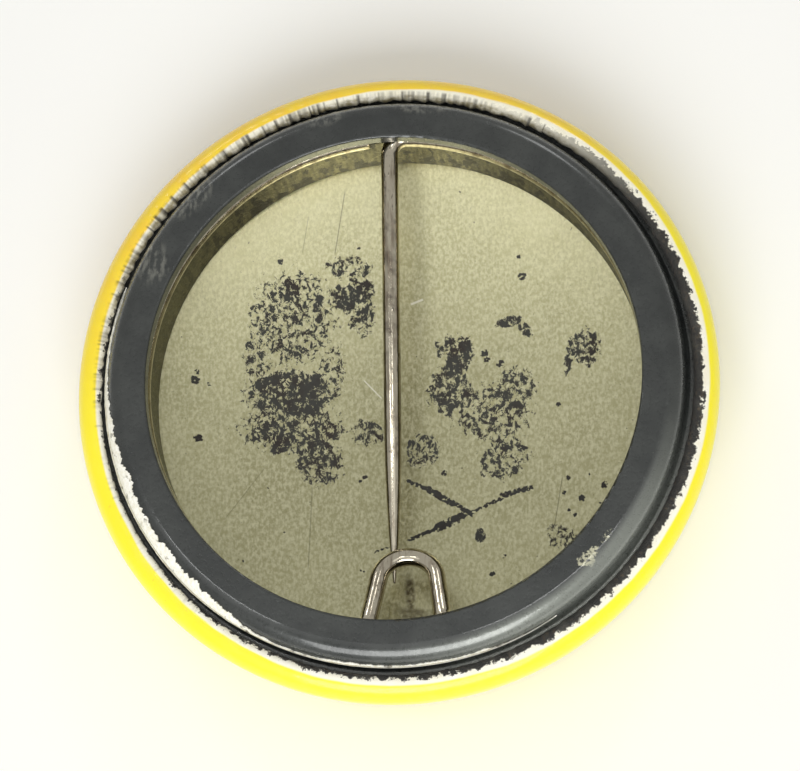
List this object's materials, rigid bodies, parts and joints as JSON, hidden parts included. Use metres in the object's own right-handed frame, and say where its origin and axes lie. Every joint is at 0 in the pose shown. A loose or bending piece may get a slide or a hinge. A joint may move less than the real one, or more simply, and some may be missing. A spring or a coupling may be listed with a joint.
{
  "type": "button badge",
  "caption": "Round domed button badge with a printed face and a spring pin back: crimped ring, wire hoop, pin arm and catch loop.",
  "frame": {"origin": "lowest point of the domed face, on the badge's axis", "axes": "+Z out of the badge's back, +Y from the catch loop to the pin's bend, +X to the right seen from the back"},
  "size_m": [0.0318, 0.0318, 0.0063],
  "materials": {
    "clear_film": "clear gloss film",
    "printed_paper": "yellow printed paper with a cream margin",
    "tinplate": "satin tinplate with flaked dark blotches",
    "dark_steel": "dark slate steel, satin",
    "plated_wire": "bright plated spring wire"
  },
  "bodies": {
    "badge": {"clear_film": "clear_film", "printed_paper": "printed_paper", "face_shell": "tinplate", "back_collet": "dark_steel"},
    "spring_wire": {"hoop_right": "plated_wire", "catch_loop": "plated_wire", "hoop_left": "plated_wire", "pin_bend": "plated_wire"},
    "pin_base": {"pin_root": "plated_wire"},
    "pin_arm": {"pin_shank": "plated_wire", "pin_point": "plated_wire"}
  },
  "joints": [
    {"name": "wire_turn", "type": "hinge", "parent": "badge", "child": "spring_wire", "pos_m": [0, 0, 0.00502], "axis": [0, 0, 1], "continuous": true},
    {"name": "pin_roll", "type": "hinge", "parent": "spring_wire", "child": "pin_base", "pos_m": [-0.00019, 0.01145, 0.00491], "axis": [0, 0.9942, 0.1074], "range_deg": [0, 80], "stiffness_Nm_per_rad": 0.01},
    {"name": "pin_swing", "type": "hinge", "parent": "pin_base", "child": "pin_arm", "pos_m": [-0.00019, 0.01056, 0.00482], "axis": [0, 0.1074, -0.9942], "range_deg": [0, 22], "stiffness_Nm_per_rad": 0.04}
  ]
}
